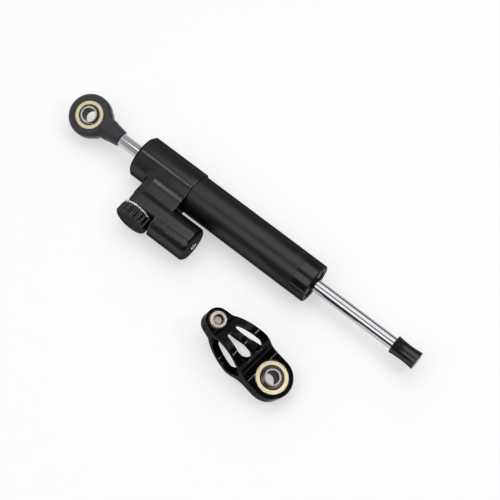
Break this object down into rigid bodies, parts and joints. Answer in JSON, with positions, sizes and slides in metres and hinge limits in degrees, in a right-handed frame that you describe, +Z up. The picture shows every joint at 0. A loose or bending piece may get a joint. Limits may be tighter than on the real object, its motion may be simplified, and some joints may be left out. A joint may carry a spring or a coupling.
{
  "type": "motorcycle steering damper",
  "caption": "Through-rod hydraulic steering damper with a knob-adjusted bypass valve, a swivel rod end and a split barrel clamp with its own bearing.",
  "frame": {"origin": "centre of the rod-end ball and its 8 mm bore", "axes": "+X along the rod from the rod end to the rod cap, -Y toward the adjuster arm and knob, +Z up from the surface that the damper and its clamp lie on"},
  "size_m": [0.255, 0.0866, 0.031],
  "materials": {
    "barrel_black": "satin black anodised",
    "head_black": "satin black anodised, machined",
    "collar_black": "half-gloss black anodised",
    "clamp_black": "gloss black anodised with pale machined edges",
    "knob_black": "satin black",
    "rod_end_black": "matt black coated steel",
    "chrome": "hard chrome",
    "steel": "ground",
    "bright_steel": "bright zinc plated",
    "dark_steel": "phosphated",
    "ball_steel": "polished bearing steel",
    "aluminium": "turned",
    "race_brass": "pale yellow, turned",
    "bronze": "sintered bronze",
    "rubber": "nitrile rubber",
    "cap_rubber": "moulded matt rubber",
    "ring_plastic": "filled low-friction plastic"
  },
  "bodies": {
    "barrel": {"barrel_tube": "barrel_black", "pressure_tube": "steel", "valve_head": "head_black", "rear_gland": "aluminium", "rear_bush": "bronze", "rear_rod_seal": "rubber", "rear_wiper": "rubber", "rear_gland_oring": "rubber", "barrel_oring": "rubber", "end_gland": "collar_black", "front_bush": "bronze", "front_rod_seal": "rubber", "front_wiper": "rubber", "end_gland_oring": "rubber", "wiper_plate": "dark_steel", "gland_circlip": "dark_steel", "adjuster_bush": "bronze", "spindle_oring": "rubber", "click_ring": "bright_steel", "end_plug": "head_black", "end_plug_oring": "rubber", "bleed_screw": "bright_steel"},
    "sliding_ring": {"piston_ring": "ring_plastic"},
    "rod": {"damper_rod": "chrome", "piston": "aluminium", "piston_circlips": "dark_steel", "rod_end_housing": "rod_end_black", "rod_end_race": "race_brass", "rod_cap": "cap_rubber"},
    "liner": {"rod_end_liner": "ring_plastic"},
    "ball": {"rod_end_ball": "ball_steel"},
    "needle": {"needle_valve": "steel", "needle_oring": "rubber"},
    "knob": {"adjuster_spindle": "steel", "adjuster_knob": "knob_black", "knob_grub_screw": "dark_steel", "detent_ball": "bright_steel", "detent_spring": "steel"},
    "compensator": {"compensator_piston": "aluminium", "compensator_oring": "rubber"},
    "clamp": {"clamp_body": "clamp_black", "clamp_race": "race_brass", "clamp_circlip": "dark_steel", "clamp_screw": "bright_steel"},
    "clamp_turning_liner": {"clamp_liner": "ring_plastic"},
    "clamp_bearing": {"clamp_ball": "ball_steel"}
  },
  "joints": [
    {"name": "rod_slide", "type": "slide", "parent": "barrel", "child": "sliding_ring", "axis": [1, 0, 0], "range_m": [-0.056, 0.013]},
    {"name": "rod_turn", "type": "hinge", "parent": "sliding_ring", "child": "rod", "pos_m": [0, 0, 0], "axis": [1, 0, 0], "continuous": true},
    {"name": "ball_turn", "type": "hinge", "parent": "rod", "child": "liner", "pos_m": [0, 0, 0], "axis": [0, -0.342, 0.9397], "continuous": true},
    {"name": "ball_tilt", "type": "hinge", "parent": "liner", "child": "ball", "pos_m": [0, 0, 0], "axis": [0, 0.9397, 0.342], "range_deg": [-13, 13]},
    {"name": "knob_turn", "type": "hinge", "parent": "barrel", "child": "knob", "pos_m": [0.0613, 0, 0], "axis": [0, -1, 0], "range_deg": [-360, 360]},
    {"name": "needle_lift", "type": "slide", "parent": "barrel", "child": "needle", "axis": [0, -1, 0], "range_m": [-0.00081, 0.00081]},
    {"name": "compensator_slide", "type": "slide", "parent": "barrel", "child": "compensator", "axis": [1, 0, 0], "range_m": [-0.005, 0.005]},
    {"name": "clamp_lift", "type": "slide", "parent": "barrel", "child": "clamp", "axis": [0, 0, 1], "range_m": [0, 0.12]},
    {"name": "clamp_ball_turn", "type": "hinge", "parent": "clamp", "child": "clamp_turning_liner", "pos_m": [0.18277, -0.06044, -0.00458], "axis": [0.2475, -0.0217, 0.9687], "continuous": true},
    {"name": "clamp_ball_tilt", "type": "hinge", "parent": "clamp_turning_liner", "child": "clamp_bearing", "pos_m": [0.18277, -0.06044, -0.00458], "axis": [0.0872, 0.9962, 0], "range_deg": [-12, 12]}
  ],
  "couplings": [
    {"joint": "needle_lift", "follows": "knob_turn", "m_per_rad": 0.00012732}
  ]
}
